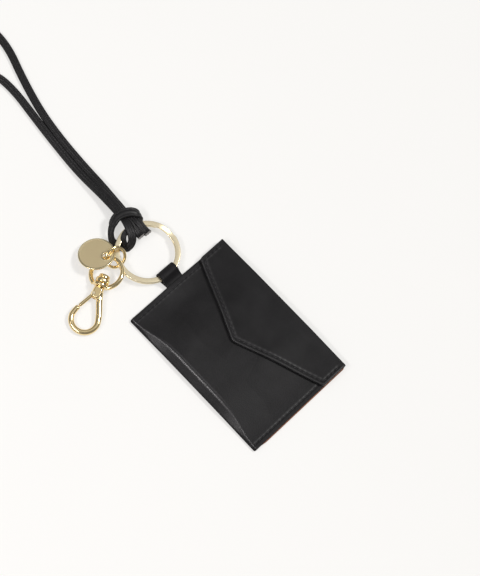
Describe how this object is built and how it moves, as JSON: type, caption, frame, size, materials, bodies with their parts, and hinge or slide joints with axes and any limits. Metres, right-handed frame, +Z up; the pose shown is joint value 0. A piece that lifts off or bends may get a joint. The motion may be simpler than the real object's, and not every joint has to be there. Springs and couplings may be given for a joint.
{
  "type": "lanyard badge holder",
  "caption": "Slim leather card pouch with a pointed flap, hung from a split ring that also carries a neck strap, a round tag and a swivel clasp.",
  "frame": {"origin": "middle of the pouch's flat back, which lies on the table", "axes": "+X along the pouch away from the split ring, +Y towards the flap's fold, +Z up through the flap"},
  "size_m": [0.3473, 0.1032, 0.0116],
  "materials": {
    "leather_black": "fine grain, satin",
    "leather_edge": "painted edge",
    "lining_tan": "suede side",
    "ring_gold": "pale gold plate, polished",
    "clasp_gold": "gold plate, polished",
    "tag_gold": "gold plate, satin face",
    "magnet_steel": "nickel plate",
    "spring_steel": "bright",
    "tie_black": "woven"
  },
  "bodies": {
    "ring": {"split_ring": "ring_gold", "strap_knot": "leather_black", "strap_leg_a": "leather_black", "strap_leg_b": "leather_black", "strap_coil": "leather_black", "coil_tie": "tie_black"},
    "pouch": {"outer_leather": "leather_black", "pocket_lining": "lining_tan", "pocket_magnet": "magnet_steel", "ring_tab": "leather_edge"},
    "spine": {"flap_spine": "leather_black"},
    "flap": {"flap_outer": "leather_black", "flap_lining": "lining_tan", "flap_magnet": "magnet_steel"},
    "jump": {"jump_ring": "clasp_gold"},
    "tag": {"tag_disc": "tag_gold"},
    "eye": {"clasp_bail": "clasp_gold"},
    "hook": {"swivel_post": "clasp_gold", "hook_body": "clasp_gold", "gate_pin": "clasp_gold", "gate_spring": "spring_steel"},
    "gate": {"hook_gate": "clasp_gold"}
  },
  "joints": [
    {"name": "pouch_swing", "type": "hinge", "parent": "ring", "child": "pouch", "pos_m": [-0.0586, -0.0013, 0.0039], "axis": [0, -1, 0], "range_deg": [-100, 100]},
    {"name": "spine_fold", "type": "hinge", "parent": "pouch", "child": "spine", "pos_m": [0, 0.0365, 0.001], "axis": [-1, 0, 0], "range_deg": [0, 90]},
    {"name": "flap_fold", "type": "hinge", "parent": "spine", "child": "flap", "pos_m": [0, 0.0365, 0.0056], "axis": [-1, 0, 0], "range_deg": [0, 90]},
    {"name": "jump_ring_swing", "type": "hinge", "parent": "ring", "child": "jump", "pos_m": [-0.08532, -0.01676, 0.0039], "axis": [-0.8589, 0.5122, 0], "range_deg": [0, 34]},
    {"name": "tag_swing", "type": "hinge", "parent": "jump", "child": "tag", "pos_m": [-0.08933, -0.02236, 0.00775], "axis": [0.5103, -0.6775, -0.5297], "range_deg": [-9, 6]},
    {"name": "clasp_swing", "type": "hinge", "parent": "jump", "child": "eye", "pos_m": [-0.08613, -0.01949, 0.00599], "axis": [-0.8818, -0.3424, -0.3243], "range_deg": [-20, 3]},
    {"name": "hook_swivel", "type": "hinge", "parent": "eye", "child": "hook", "pos_m": [-0.07914, -0.03601, 0.00441], "axis": [0.3884, -0.9173, -0.0876], "continuous": true},
    {"name": "gate_open", "type": "hinge", "parent": "hook", "child": "gate", "pos_m": [-0.07828, -0.04213, 0.00389], "axis": [0.0342, -0.0807, 0.9962], "range_deg": [0, 26], "stiffness_Nm_per_rad": 0.004, "springref_deg": -22.92}
  ],
  "couplings": [
    {"joint": "flap_fold", "follows": "spine_fold", "ratio": 1}
  ]
}
